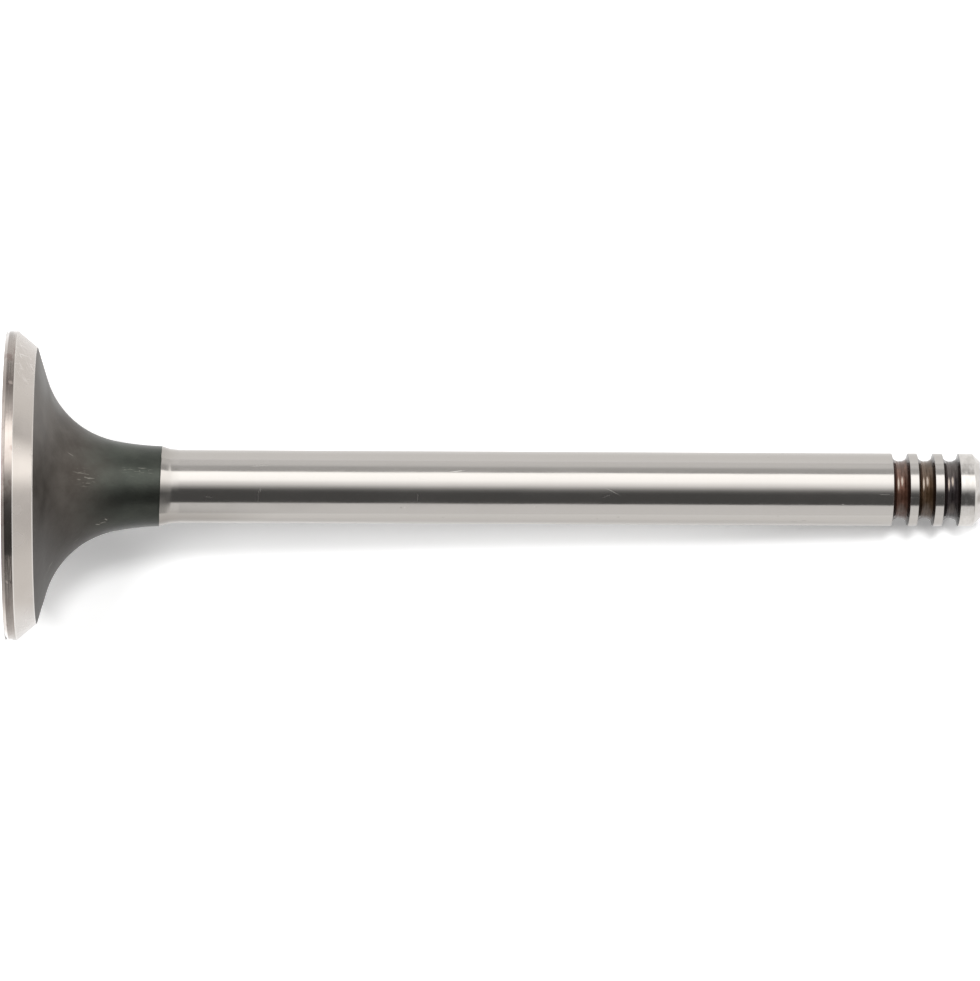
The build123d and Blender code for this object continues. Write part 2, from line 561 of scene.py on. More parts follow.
def centreless_ground_steel():
    material, tree = new_material("centreless_ground_valve_steel")
    place = in_millimetres(tree)
    lines = grain(tree, place, (6.0, 6.0, GRINDING_LINE), detail=3)
    waver = grain(tree, place, (3.0, 3.0, 9.0))
    handled = grain(tree, place, (5.0, 5.0, 9.0), detail=4, roughness=0.6)
    scratches = marks_on_stem(tree, place, HAIR_SCRATCHES)
    pits = marks_on_stem(tree, place, SMALL_PITS)

    apart = add_node(tree, "ShaderNodeSeparateXYZ", {"Vector": place})
    # Painted shade: the foot next to the neck is darker all round.
    foot = {"Value": apart["Z"], "From Min": neck_top[1] + FOOT_BAND_LENGTH, "From Max": neck_top[1]}
    foot_band_shade = add_node(tree, "ShaderNodeMapRange", foot, **SMOOTH)["Result"]
    sideways = add_node(tree, "ShaderNodeMath", {0: apart["X"]}, operation="ABSOLUTE")["Value"]
    sides = {"Value": sideways, "From Min": EDGE_SHADE_FROM, "From Max": STEM_RADIUS, "To Max": EDGE_SHADE_SHARE}
    painted_side_shade = add_node(tree, "ShaderNodeMapRange", sides)["Result"]
    # A painted streak of shade on the lower side by the neck.
    foot_streak = mark(tree, place, FOOT_STREAK_TURN, FOOT_STREAK_HEIGHT, STEM_RADIUS, FOOT_STREAK_SIZE, soft=0.9)
    painted_foot_streak = add_node(tree, "ShaderNodeMath", {0: foot_streak, 1: FOOT_STREAK_SHARE}, operation="MULTIPLY")["Value"]
    # The foot band, the darker sides and the streak are painted shade; scratches and pits are wear.
    colour = layered(tree, srgb("#B8B4AF"),
                     (lines, 1, srgb("#BAB6B2")),
                     (scratches, 0.2, srgb("#E6E2DC")),
                     (pits, 0.35, srgb("#6E6862")),
                     (foot_band_shade, 0.35, srgb("#938D85")),
                     (strongest(tree, [painted_side_shade, painted_foot_streak]), 1, srgb("#7A736C")))

    wiped = {"Value": handled, "From Min": 0.35, "From Max": 0.75, "To Min": 0.12, "To Max": 0.18}
    polish = add_node(tree, "ShaderNodeMapRange", wiped, **SMOOTH)["Result"]
    gloss = summed(tree, polish, (scratches, 0.15))
    cut = summed(tree, waver, (lines, 0.015), (scratches, -0.15))
    lay_skin(tree, colour, gloss, cut, depth=0.025, strength=0.6)
    return material


stem_steel = centreless_ground_steel()
print(len(stem_steel.node_tree.nodes), "nodes in", stem_steel.name)

# %% [markdown]
# ### Hardened tip
#
# The rocker presses on the tip, so its last few millimetres are hardened and ground once more. That
# end is painted a little paler than the stem, a painted reflection that stands in for the brighter light
# it mirrors, with cloudy patches where the finer wheel only just touched it, and one dull smear on the
# chamfer, where the rocker's edge rubbed.

# %% Hardened tip
SMEAR_TURN = -15
SMEAR_HEIGHT = LENGTH - 0.5
SMEAR_REACH = 3.4
SMEAR_SIZE = (0.9, 1.2, 0.8)


def hardened_tip_steel():
    material, tree = new_material("hardened_tip_valve_steel")
    place = in_millimetres(tree)
    lines = grain(tree, place, (6.0, 6.0, GRINDING_LINE), detail=3)
    clouds = grain(tree, place, (1.3, 1.3, 0.6), detail=4, roughness=0.6)
    clouded = add_node(tree, "ShaderNodeMapRange", {"Value": clouds, **NOISE_HIGH}, **SMOOTH)["Result"]
    smear = mark(tree, place, SMEAR_TURN, SMEAR_HEIGHT, SMEAR_REACH, SMEAR_SIZE)
    # The paler base colour is a painted reflection.
    colour = layered(tree, srgb("#BEBAB5"), (clouded, 1, srgb("#CECAC6")), (smear, 0.6, srgb("#807A74")))

    wheel = {"Value": clouds, **NOISE_HIGH, "To Min": 0.13, "To Max": 0.2}
    gloss = add_node(tree, "ShaderNodeMapRange", wheel, **SMOOTH)["Result"]
    lay_skin(tree, colour, gloss, summed(tree, clouds, (lines, 0.05)), depth=0.008, strength=0.5)
    return material


tip_steel = hardened_tip_steel()
print(len(tip_steel.node_tree.nodes), "nodes in", tip_steel.name)

# %% [markdown]
# ### Ground seat
#
# The seat is ground at an angle with a coarser wheel after the head is shaped. It is more matt than
# the stem and paler, with short slanting strokes in the places where the wheel crossed it again. The
# strokes run round a cone, so their pattern is laid out flat first: distance round the axis one way
# and height the other. A stroked place is its turn, its height and its half width.

# %% Strokes of the seat's wheel
STROKE_LENGTH = 1.9
STROKE_WIDTH = 0.22
FIRST_SLANT = radians(48)
SECOND_SLANT = radians(48 - 75)
STROKED_PLACES = [(60, 2.4, 6.5), (-76, 2.3, 4.5), (131, 2.3, 6.0), (204, 2.3, 7.0), (-128, 2.3, 4.0)]


def laid_flat(tree, place, reach):
    """Distance round the axis in mm as X and height as Y; the two ends meet at the back."""
    apart = add_node(tree, "ShaderNodeSeparateXYZ", {"Vector": place})
    front = add_node(tree, "ShaderNodeMath", {0: apart["Y"], 1: -1.0}, operation="MULTIPLY")["Value"]
    angle = add_node(tree, "ShaderNodeMath", {0: apart["X"], 1: front}, operation="ARCTAN2")["Value"]
    round_mm = add_node(tree, "ShaderNodeMath", {0: angle, 1: reach}, operation="MULTIPLY")["Value"]
    return add_node(tree, "ShaderNodeCombineXYZ", {"X": round_mm, "Y": apart["Z"]})["Vector"]


def strokes_at(tree, flat, slant, detail):
    """Noise drawn out into strokes that slant across the skin."""
    turned = add_node(tree, "ShaderNodeMapping", {"Vector": flat, "Rotation": (0, 0, slant)})["Vector"]
    return grain(tree, turned, (STROKE_LENGTH, STROKE_WIDTH, 1.0), detail=detail, roughness=0.6)


print("strokes of", STROKE_LENGTH, "by", STROKE_WIDTH, "mm in", len(STROKED_PLACES), "places")

# %% [markdown]
# Both edges of the seat carry a thin bright line that is a painted highlight, stronger on one side than
# on the other, and the side that is lower in the render is painted paler, as a painted reflection.

# %% Ground seat
SEAT_REACH = 16.0
# Width of the painted highlight on each edge, and how it grows towards +X.
EDGE_GLINT_WIDTH = 0.16
GLINT_SIDE = {"From Min": -5.0, "From Max": 4.0, "To Min": 0.2, "To Max": 0.6}
# Painted reflection: the seat's +X side, lower in the render, is painted paler.
SEAT_SHEEN_SIDE = {"From Min": 12.0, "From Max": 15.0}


def ground_seat_steel():
    material, tree = new_material("seat_ground_valve_steel")
    place = in_millimetres(tree)
    flat = laid_flat(tree, place, (HEAD_RADIUS + seat_top[0]) / 2)
    first_pass = strokes_at(tree, flat, FIRST_SLANT, 3.0)
    second_pass = strokes_at(tree, flat, SECOND_SLANT, 2.0)
    patches = grain(tree, place, (3.0, 3.0, 3.0))
    crossed = strongest(tree, [mark(tree, place, turn, height, SEAT_REACH, (wide, 2.5, 2.4))
                               for turn, height, wide in STROKED_PLACES])
    passes = {"Value": strongest(tree, [first_pass, second_pass]),
              "From Min": 0.56, "From Max": 0.72, "To Max": crossed}
    strokes = add_node(tree, "ShaderNodeMapRange", passes, **SMOOTH)["Result"]

    apart = add_node(tree, "ShaderNodeSeparateXYZ", {"Vector": place})
    # Painted highlights: thin bright lines on both edges of the seat.
    rim = {"Value": apart["Z"], "From Min": MARGIN_HEIGHT + EDGE_GLINT_WIDTH, "From Max": MARGIN_HEIGHT}
    crown = {"Value": apart["Z"], "From Min": seat_top[1] - EDGE_GLINT_WIDTH, "From Max": seat_top[1]}
    painted_edge_glints = strongest(tree, [add_node(tree, "ShaderNodeMapRange", edge, **SMOOTH)["Result"]
                             for edge in (rim, crown)])
    sides = [{"Value": apart["X"], **span} for span in (GLINT_SIDE, SEAT_SHEEN_SIDE)]
    glint_strength, painted_seat_sheen = [add_node(tree, "ShaderNodeMapRange", side, **SMOOTH)["Result"] for side in sides]
    colour = layered(tree, srgb("#B0A9A2"),
                     (patches, 1, srgb("#C0B9B3")),
                     (painted_seat_sheen, 0.5, srgb("#E4E0DD")),
                     (strokes, 0.6, srgb("#ECE8E4")),
                     (painted_edge_glints, glint_strength, srgb("#EDEAE6")))

    wheel = {"Value": patches, **NOISE_SPAN, "To Min": 0.22, "To Max": 0.28}
    matt = add_node(tree, "ShaderNodeMapRange", wheel, **SMOOTH)["Result"]
    gloss = summed(tree, matt, (strokes, 0.15))
    lay_skin(tree, colour, gloss, summed(tree, strokes, (first_pass, 0.2)), depth=0.006, strength=0.5)
    return material


seat_steel = ground_seat_steel()
print(len(seat_steel.node_tree.nodes), "nodes in", seat_steel.name)

# %% [markdown]
# ### Turned margin
#
# The rim is turned, not ground. A lathe tool leaves a fine spiral, a little duller and browner than
# the ground steel, and the rim keeps a few brown stains from the heat treatment. Real feed lines are
# finer still, and these are drawn as coarse as they have to be to show. A stained place is its turn,
# its height, its half width and its half height.

# %% Turned margin
FEED_LINE = 0.12
STAINED_PLACES = [(41, 0.7, 2.6, 0.9), (-50, 0.5, 2.0, 0.6), (118, 0.7, 3.0, 0.8), (-140, 0.6, 2.4, 0.8)]
STAIN_SHARE = 0.18


def turned_margin_steel():
    material, tree = new_material("turned_margin_valve_steel")
    place = in_millimetres(tree)
    lines = grain(tree, place, (5.0, 5.0, FEED_LINE), detail=3)
    patches = grain(tree, place, (2.5, 2.5, 2.5), detail=3)
    stains = grain(tree, place, (1.6, 1.6, 1.0), detail=3, roughness=0.6)
    spots = strongest(tree, [mark(tree, place, turn, height, HEAD_RADIUS, (wide, 1.5, tall))
                             for turn, height, wide, tall in STAINED_PLACES])
    faint = add_node(tree, "ShaderNodeMath", {0: spots, 1: STAIN_SHARE}, operation="MULTIPLY")["Value"]
    specks = {"Value": stains, "From Min": 0.52, "From Max": 0.72, "To Max": 0.5}
    scattered = add_node(tree, "ShaderNodeMapRange", specks, **SMOOTH)["Result"]
    colour = layered(tree, srgb("#9A908A"),
                     (patches, 1, srgb("#B6AEA7")),
                     (strongest(tree, [scattered, faint]), 1, srgb("#7D6661")))

    spiral = {"Value": lines, **NOISE_SPAN, "To Min": 0.08, "To Max": 0.14}
    gloss = add_node(tree, "ShaderNodeMapRange", spiral, **SMOOTH)["Result"]
    lay_skin(tree, colour, gloss, lines, depth=0.006, strength=0.5)
    return material


margin_steel = turned_margin_steel()
print(len(margin_steel.node_tree.nodes), "nodes in", margin_steel.name)

# %% [markdown]
# The combustion face is turned in the same setting. Its spiral runs in to the middle, so its pattern
# depends on the distance from the axis alone.

# %% Turned face
FACE_LINE = 0.25


def turned_face_steel():
    material, tree = new_material("turned_face_valve_steel")
    place = in_millimetres(tree)
    across = add_node(tree, "ShaderNodeMapping", {"Vector": place, "Scale": (1, 1, 0)})["Vector"]
    reach = add_node(tree, "ShaderNodeVectorMath", {0: across}, operation="LENGTH")["Value"]
    spiral = {"W": reach, "Scale": 1 / FACE_LINE, "Detail": 3.0}
    rings = add_node(tree, "ShaderNodeTexNoise", spiral, noise_dimensions="1D")["Fac"]
    patches = grain(tree, place, (4.0, 4.0, 4.0), detail=3)
    colour = layered(tree, srgb("#9C9691"), (patches, 1, srgb("#BBB5B0")))
    wear = {"Value": patches, **NOISE_SPAN, "To Min": 0.25, "To Max": 0.36}
    gloss = add_node(tree, "ShaderNodeMapRange", wear, **SMOOTH)["Result"]
    lay_skin(tree, colour, gloss, rings, depth=0.01, strength=0.7)
    return material


face_steel = turned_face_steel()
print(len(face_steel.node_tree.nodes), "nodes in", face_steel.name)

# %% [markdown]
# ### Wear on the tulip
#
# The dark skin was rubbed where it met a bench or another valve, and its high grains are bright there,
# as specks and as short dashes along the axis. A pale grey is laid in three places: the two near the
# upper edge are a painted reflection, and the third is a grey patch round the back. Each row is a
# place: its turn, its height, its distance from the axis and its half sizes, and a scratch has its
# tilt too.

# %% Marks on the tulip
WORN_PLACES = [
    (9, 8.6, 6.1, (1.5, 2.0, 1.9)),
    (21, 14.3, 4.6, (0.8, 2.0, 2.3)),
    (-48, 10.6, 5.3, (0.8, 1.5, 0.8)),
    (72, 5.6, 9.2, (1.6, 1.6, 1.4)),
    (-64, 7.6, 6.6, (0.8, 0.8, 0.8)),
    (150, 9.0, 5.9, (2.2, 1.8, 1.6)),
    (-140, 13.0, 4.7, (1.2, 1.5, 1.8)),
]
# The first two rows are painted reflection on the upper edge; the third is a grey patch.
HAZE_AND_SHEEN_PLACES = [
    (72, 4.0, 12.2, (6.5, 3.5, 1.4)),
    (78, 5.2, 9.4, (3.8, 3.0, 1.8)),
    (-150, 8.0, 6.4, (3.0, 2.5, 2.5)),
]
TULIP_SCRATCHES = [
    (-58, 4.9, 10.0, (0.08, 0.8, 0.55), 6),
    (-60, 4.6, 10.4, (0.06, 0.8, 0.40), -8),
    (-45, 10.9, 5.2, (0.10, 0.8, 0.28), 50),
    (-50, 10.0, 5.4, (0.08, 0.8, 0.40), 30),
    (28, 7.0, 7.0, (0.06, 0.8, 0.60), 12),
    (160, 6.5, 7.6, (0.08, 0.8, 0.90), 25),
]
SPECK_SIZE = (0.17, 0.17, 0.24)
DASH_SIZE = (0.2, 1.1, 1.0)
DASHED_REACH = 6.0
DASH_SHARE = 0.7


def rubbed_grains(tree, place):
    """The bright grains of the worn places, and their dashes alone."""
    worn = strongest(tree, [mark(tree, place, *row, soft=0.8) for row in WORN_PLACES])
    tops = {"Value": grain(tree, place, SPECK_SIZE, detail=1),
            "From Min": 0.70, "From Max": 0.77, "To Max": worn}
    specks = add_node(tree, "ShaderNodeMapRange", tops, **SMOOTH)["Result"]
    half_worn = add_node(tree, "ShaderNodeMath", {0: worn, 1: DASH_SHARE}, operation="MULTIPLY")["Value"]
    drags = {"Value": grain(tree, laid_flat(tree, place, DASHED_REACH), DASH_SIZE, detail=2),
             "From Min": 0.55, "From Max": 0.68, "To Max": half_worn}
    dashes = add_node(tree, "ShaderNodeMapRange", drags, **SMOOTH)["Result"]
    scratches = strongest(tree, [mark(tree, place, *row) for row in TULIP_SCRATCHES])
    return strongest(tree, [specks, dashes, scratches]), dashes


print(len(WORN_PLACES), "worn places,", len(HAZE_AND_SHEEN_PLACES), "hazy,", len(TULIP_SCRATCHES), "scratches")

# %% [markdown]
# ### Nitrided forging
#
# The tulip stays as the forging die left it, and a hot salt bath turns its skin into a dark, hard
# nitride. The eye gets a satin, nearly black steel: browner by the head, greener near the stem, in
# clouds where the bath took more or less of it. Its lower side is painted darker still, as painted shade.

# %% Dark tulip
BROWN_TO_GREEN = {"From Min": 9.0, "From Max": 15.5}
CLOUD_DRIFT = 5.0
TULIP_SHADED_SIDE = {"From Min": 0.0, "From Max": 6.0}


def nitrided_forging():
    material, tree = new_material("nitrided_forged_steel")
    place = in_millimetres(tree)
    clouds = grain(tree, place, (2.6, 2.6, 3.4), detail=4, roughness=0.6)
    pores = grain(tree, place, (0.28, 0.28, 0.28), detail=3, roughness=0.6)
    bright, dashes = rubbed_grains(tree, place)
    haze_and_sheen = strongest(tree, [mark(tree, place, *row, soft=0.9) for row in HAZE_AND_SHEEN_PLACES])

    apart = add_node(tree, "ShaderNodeSeparateXYZ", {"Vector": place})
    height = {"Value": summed(tree, apart["Z"], (clouds, CLOUD_DRIFT)), **BROWN_TO_GREEN}
    toward_stem = add_node(tree, "ShaderNodeMapRange", height, **SMOOTH)["Result"]
    deep = layered(tree, srgb("#4A4540"), (toward_stem, 1, srgb("#41443F")))
    thin = layered(tree, srgb("#5A5550"), (toward_stem, 1, srgb("#4C4F49")))
    clouded = add_node(tree, "ShaderNodeMapRange", {"Value": clouds, **NOISE_SPAN}, **SMOOTH)["Result"]
    # Painted shade: darker towards +X, the lower side in the render.
    painted_side_shade = add_node(tree, "ShaderNodeMapRange", {"Value": apart["X"], **TULIP_SHADED_SIDE})["Result"]
    colour = layered(tree, deep,
                     (clouded, 1, thin),
                     (painted_side_shade, 0.52, srgb("#2A2826")),
                     (haze_and_sheen, 0.34, srgb("#8E8F8E")),
                     (bright, 0.42, srgb("#B6B2A8")))

    bath = {"Value": toward_stem, "To Min": 0.44, "To Max": 0.3}
    satin = add_node(tree, "ShaderNodeMapRange", bath)["Result"]
    gloss = summed(tree, satin, (clouds, 0.1))
    dragged = summed(tree, pores, (clouds, 1.5), (dashes, -0.5))
    lay_skin(tree, colour, gloss, dragged, depth=0.02, strength=0.6, metallic=0.9)
    return material


tulip_steel = nitrided_forging()
print(len(tulip_steel.node_tree.nodes), "nodes in", tulip_steel.name)

# %% [markdown]
# ### Keeper grooves
#
# The grooves are turned before the heat treatment and never ground, so they keep the rings of the tool
# and the thin brown oxide that the oven bakes on. Through such a skin the steel still shines, but only
# in part, so this is half metal and half matt oxide. Each groove has its own tint, from red brown to
# nearly black. Painted shade darkens its walls and its lower side, painted reflection makes its upper
# side and one spot on the lower side a greyer, paler brown, and a few crescents are painted highlights.

# %% Heat-tinted grooves
RING_PITCH = 0.38
RING_DEPTH = 0.015
# Painted shade near the walls and on the lower side.
GROOVE_WALL_SHADE = {"From Min": 0.45, "From Max": 0.8, "To Max": 0.8}
GROOVE_SHADED_SIDE = {"From Min": 0.2, "From Max": 2.6, "To Max": 0.4}
# Painted reflection: the upper side, towards -X, is paler and greyer.
GROOVE_UPPER_SHEEN = {"From Min": -0.6, "From Max": -2.0, "To Max": 0.19}
# A painted reflection: one paler spot on the lower side of each groove.
LOWER_SHEEN_TURN = -44
LOWER_SHEEN_SIZE = (1.1, 1.2, 0.6)
LOWER_SHEEN_SHARE = 0.3
# Painted highlights: pale crescents where the light would catch.
HIGHLIGHT_CRESCENTS = [(11, -0.36, 0.95), (17, 0.05, 0.75), (-165, 0.1, 1.2), (120, -0.2, 0.8)]
GROOVE_TINTS = [
    ("#4A3024", "#6B4A3C"),
    ("#43311F", "#5F4A36"),
    ("#282323", "#443C3D"),
]


def heat_tinted_groove(index, dark, light):
    material, tree = new_material(f"heat_tinted_groove_oxide_{index + 1}")
    place = in_millimetres(tree)
    middle = groove_middle(index)
    stains = grain(tree, place, (1.1, 1.1, 0.9), detail=4, roughness=0.6)
    streaks = grain(tree, place, (1.2, 1.2, 0.16), detail=2)
    apart = add_node(tree, "ShaderNodeSeparateXYZ", {"Vector": place})
    rise = {0: apart["Z"], 1: middle}
    from_middle = add_node(tree, "ShaderNodeMath", rise, operation="SUBTRACT")["Value"]
    side = add_node(tree, "ShaderNodeMath", {0: from_middle}, operation="ABSOLUTE")["Value"]
    # wall and the lower side's mask are painted shade; the upper side's mask is painted reflection.
    spans = [(side, GROOVE_WALL_SHADE), (apart["X"], GROOVE_SHADED_SIDE), (apart["X"], GROOVE_UPPER_SHEEN)]
    wall, lower_shade, upper_sheen = [add_node(tree, "ShaderNodeMapRange", {"Value": way, **span}, **SMOOTH)["Result"]
                            for way, span in spans]
    # A painted patch of paler reflection on the lower side.
    lower_sheen_spot = mark(tree, place, LOWER_SHEEN_TURN, middle, GROOVE_FLOOR, LOWER_SHEEN_SIZE)
    painted_lower_sheen = add_node(tree, "ShaderNodeMath", {0: lower_sheen_spot, 1: LOWER_SHEEN_SHARE}, operation="MULTIPLY")["Value"]
    stained = add_node(tree, "ShaderNodeMapRange", {"Value": stains, **NOISE_HIGH}, **SMOOTH)["Result"]
    # Painted highlights laid as pale crescents on the groove's floor.
    crescent_highlights = strongest(tree, [mark(tree, place, turn, middle + up, GROOVE_FLOOR, (wide, 1.2, 0.16))
                            for turn, up, wide in HIGHLIGHT_CRESCENTS])
    colour = layered(tree, srgb(dark),
                     (stained, 1, srgb(light)),
                     (strongest(tree, [upper_sheen, painted_lower_sheen]), 1, srgb("#9A9088")),
                     (strongest(tree, [wall, lower_shade]), 1, srgb("#221916")),
                     (crescent_highlights, 0.85, srgb("#B0A296")))

    oxide = {"Value": streaks, **NOISE_SPAN, "To Min": 0.12, "To Max": 0.26}
    gloss = add_node(tree, "ShaderNodeMapRange", oxide, **SMOOTH)["Result"]
    turns = {0: from_middle, 1: 2 * np.pi / RING_PITCH}
    waves = add_node(tree, "ShaderNodeMath", turns, operation="MULTIPLY")["Value"]
    rings = add_node(tree, "ShaderNodeMath", {0: waves}, operation="SINE")["Value"]
    lay_skin(tree, colour, gloss, summed(tree, rings, (streaks, 0.6)), depth=RING_DEPTH, metallic=0.5)
    return material


groove_oxides = [heat_tinted_groove(i, *tints) for i, tints in enumerate(GROOVE_TINTS)]
print(len(groove_oxides), "groove finishes")

# %% [markdown]
# The finishes now go onto the mesh in the order of its material slots.

# %% Put the finishes on the valve
slots = {"face": face_steel, "margin": margin_steel, "seat": seat_steel, "tulip": tulip_steel,
         "stem": stem_steel, "tip": tip_steel, **dict(zip(GROOVES, groove_oxides))}
for finish in FINISHES:
    mesh.materials.append(slots[finish])
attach(valve, "root")
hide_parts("valve")
print(len(mesh.materials), "slots on", valve.name)

# %% [markdown]
# ## The studio
#
# The valve stands on its head on a pale floor, with a white board leaning just behind it that catches
# a soft shadow along the stem. Both are matt white card, and the background has to stay a clean white.
# So the card glows by about a quarter of white, for the camera and for mirrors only, and the lamps can
# stay at a plain level. A mirror would show card that is lit past white as brighter than white, so the
# card is a little greyer for mirrors. The floor and the board are clear from the back.

# %% Floor and board
FLOOR_SIZE = 4.0
BOARD_WIDTH = 0.5
BOARD_HEIGHT = 0.3
BOARD_GAP = 0.0003
CARD_GLOW = 0.26


def card_sheet(name, corners, material):
    """A flat stage sheet from its corners, facing the side from which they run anticlockwise."""
    sheet = bpy.data.meshes.new(name)
    sheet.from_pydata(corners, [], [tuple(range(len(corners)))])
    sheet.materials.append(material)
    card = bpy.data.objects.new(name, sheet)
    bpy.context.scene.collection.objects.link(card)
    return card


def direct_view(tree):
    """One for rays from the camera, from a mirror or through glass, and nothing for the rest."""
    path = add_node(tree, "ShaderNodeLightPath")
    return strongest(tree, [path["Is Camera Ray"], path["Is Glossy Ray"], path["Is Transmission Ray"]])


def white_card(name):
    """Matt white card with a faint glow in front, and clear from its back."""
    material, tree = new_material(name)
    mirrored = add_node(tree, "ShaderNodeLightPath")["Is Glossy Ray"]
    paper = layered(tree, srgb("#FEFEFE"), (mirrored, 1, srgb("#E9E9E9")))
    matt = add_node(tree, "ShaderNodeBsdfDiffuse", {"Color": paper})["BSDF"]
    seen = {0: direct_view(tree), 1: CARD_GLOW}
    strength = add_node(tree, "ShaderNodeMath", seen, operation="MULTIPLY")["Value"]
    glow = add_node(tree, "ShaderNodeEmission", {"Strength": strength})["Emission"]
    front = add_node(tree, "ShaderNodeAddShader", {0: matt, 1: glow})["Shader"]
    back = add_node(tree, "ShaderNodeNewGeometry")["Backfacing"]
    clear = add_node(tree, "ShaderNodeBsdfTransparent")["BSDF"]
    both = add_node(tree, "ShaderNodeMixShader", {0: back, 1: front, 2: clear})["Shader"]
    add_node(tree, "ShaderNodeOutputMaterial", {"Surface": both})
    material.cycles.emission_sampling = "NONE"
    return material


half = FLOOR_SIZE / 2
floor = card_sheet("floor", [(-half, -half, 0), (half, -half, 0), (half, half, 0), (-half, half, 0)],
                   white_card("white_floor_card"))
floor.visible_diffuse = False
floor.visible_glossy = False
floor.visible_shadow = False

head_back = HEAD_RADIUS * MM + BOARD_GAP
tip_back = STEM_RADIUS * MM + BOARD_GAP
lean = atan2(head_back - tip_back, LENGTH * MM)
board_top = (head_back - tan(lean) * BOARD_HEIGHT, BOARD_HEIGHT)
side = BOARD_WIDTH / 2
board = card_sheet("board", [(-side, head_back, 0), (side, head_back, 0),
                             (side, *board_top), (-side, *board_top)],
                   white_card("white_board_card"))
board.visible_diffuse = False
board.visible_shadow = False
print("board leans", round(degrees(lean), 2), "degrees")

# %% [markdown]
# ### Light wall
#
# A round polished stem is a mirror that squeezes the whole room into a few bands, so product lighting
# for metal is done with what stands round it. A round wall of light and dark cards stands about the
# valve, seen by the metal and never by the camera. Going round from the front it has a tall softbox
# that makes the bright band, a dark flag beside it that makes the deep one, and a grey card at the
# softbox's far edge that draws the thin line where they end.
#
# The strengths of a row are written as (angle, strength), with the angle in degrees from the front.
# The lowest rows are for the rim and the underside, and the next ones are for the stem from its foot
# to its end.

# %% Low rows of the light wall
DEEP = [
    (-180, 1.6), (-150, 1.5), (-135, 0.85), (-117, 0.5), (-105, 0.66), (-96, 0.9), (-88, 0.6), (-60, 0.15),
    (40, 0.2), (80, 1.2), (92, 1.6), (113, 1.7), (120, 1.55), (128, 1.0), (138, 0.95), (150, 1.3),
    (180, 1.5),
]
UNDER = [
    (-180, 1.6), (-150, 1.7), (-138, 1.15), (-130, 0.7), (-120, 0.6), (-60, 0.3), (-50, 0.12), (-10, 0.12),
    (0, 0.35), (20, 0.6), (45, 0.6), (60, 0.55), (80, 0.8), (120, 0.9), (150, 1.2), (180, 1.5),
]
RIM = [
    (-180, 1.4), (-150, 1.15), (-114, 0.66), (-101, 0.58), (-91, 0.42), (-80, 0.27), (-70, 0.12),
    (-62, 0.055), (-54, 0.06), (-40, 0.07), (-20, 0.11), (-10, 0.2), (-5, 0.38), (3, 0.56), (7, 0.68),
    (12, 1.4), (20, 2.4), (38, 2.7), (46, 2.4), (53, 1.6), (58, 1.15), (66, 0.75), (74, 0.48),
    (82, 0.38), (90, 0.42), (101, 0.5), (110, 0.85), (116, 0.95), (150, 0.85), (180, 1.1),
]
STEM_LIGHT = [(22, 1.95), (45, 2.15), (48, 1.75), (49, 0.57), (66, 0.66), (72, 0.95), (80, 1.0)]
FOOT = [
    (-180, 0.6), (-124, 0.78), (-100, 0.9), (-80, 0.95), (-53, 1.0), (-52, 0.16), (-47, 0.11), (-10, 0.11),
    (-4, 0.35), (3, 0.75), (6.5, 1.0), (14, 1.35), *STEM_LIGHT, (180, 1.0),
]
STEM = [
    (-180, 1.02), (-80, 1.04), (-53, 1.03), (-52, 0.16), (-47, 0.11), (-17, 0.11), (-8, 0.24), (-3, 0.5),
    (3, 0.9), (6.5, 1.2), (14, 1.55), *STEM_LIGHT, (180, 1.0),
]
TIP = [
    (-180, 1.1), (-80, 1.05), (-53, 1.03), (-52, 0.16), (-47, 0.11), (-14, 0.11), (-6, 0.3), (-2, 0.65),
    (3, 1.05), (6.5, 1.35), (14, 1.7), *STEM_LIGHT, (90, 0.85), (180, 0.85),
]
END = [
    (-180, 1.3), (-80, 1.25), (-53, 1.2), (-52, 0.17), (-47, 0.12), (-14, 0.12), (-6, 0.35), (-2, 0.72),
    (3, 1.15), (6.5, 1.45), (14, 1.75), (22, 1.95), (45, 2.0), (48, 1.55), (49, 0.38), (66, 0.45),
    (72, 0.78), (90, 0.74), (180, 0.74),
]
print("the stem's row goes up to", max(strength for _, strength in STEM), "of white")

# %% [markdown]
# The high rows are for the neck, the tulip and the seat, whose slopes look upward, and the zenith is
# even. Each row stands at its heights in metres, and between two rows the strengths change evenly.

# %% High rows of the light wall
NECK = [
    (-180, 0.6), (-170, 0.6), (-160, 1.3), (-149, 1.5), (-142, 1.25), (-136, 0.6), (-120, 0.6),
    (-100, 0.62), (-82, 0.62), (-62, 0.45), (-52, 0.2), (-45, 0.14), (-20, 0.14), (-8, 0.4), (0, 0.75),
    (8, 1.3), (20, 1.85), (45, 2.0), (55, 1.5), (69, 1.35), (93, 1.15), (110, 1.1), (134, 1.2),
    (142, 1.4), (158, 1.7), (180, 2.0),
]
LOWER = [
    (-180, 0.7), (-165, 0.7), (-150, 1.15), (-135, 1.15), (-118, 1.1), (-100, 0.8), (-82, 0.6),
    (-56, 0.6), (-26, 0.6), (-10, 0.8), (0, 1.0), (10, 1.4), (32, 1.9), (45, 1.85), (56, 1.4), (82, 1.1),
    (103, 1.1), (118, 1.38), (140, 1.45), (160, 1.45), (174, 1.4), (180, 1.15),
]
UPPER = [
    (-180, 0.9), (-140, 1.3), (-118, 1.15), (-103, 1.2), (-89, 0.97), (-75, 0.85), (-56, 0.75), (-26, 0.75),
    (-10, 0.95), (0, 1.15), (10, 1.5), (32, 1.95), (45, 1.75), (56, 1.15), (70, 0.75), (82, 0.5),
    (98, 0.38), (107, 0.9), (118, 1.3), (140, 0.9), (180, 0.9),
]
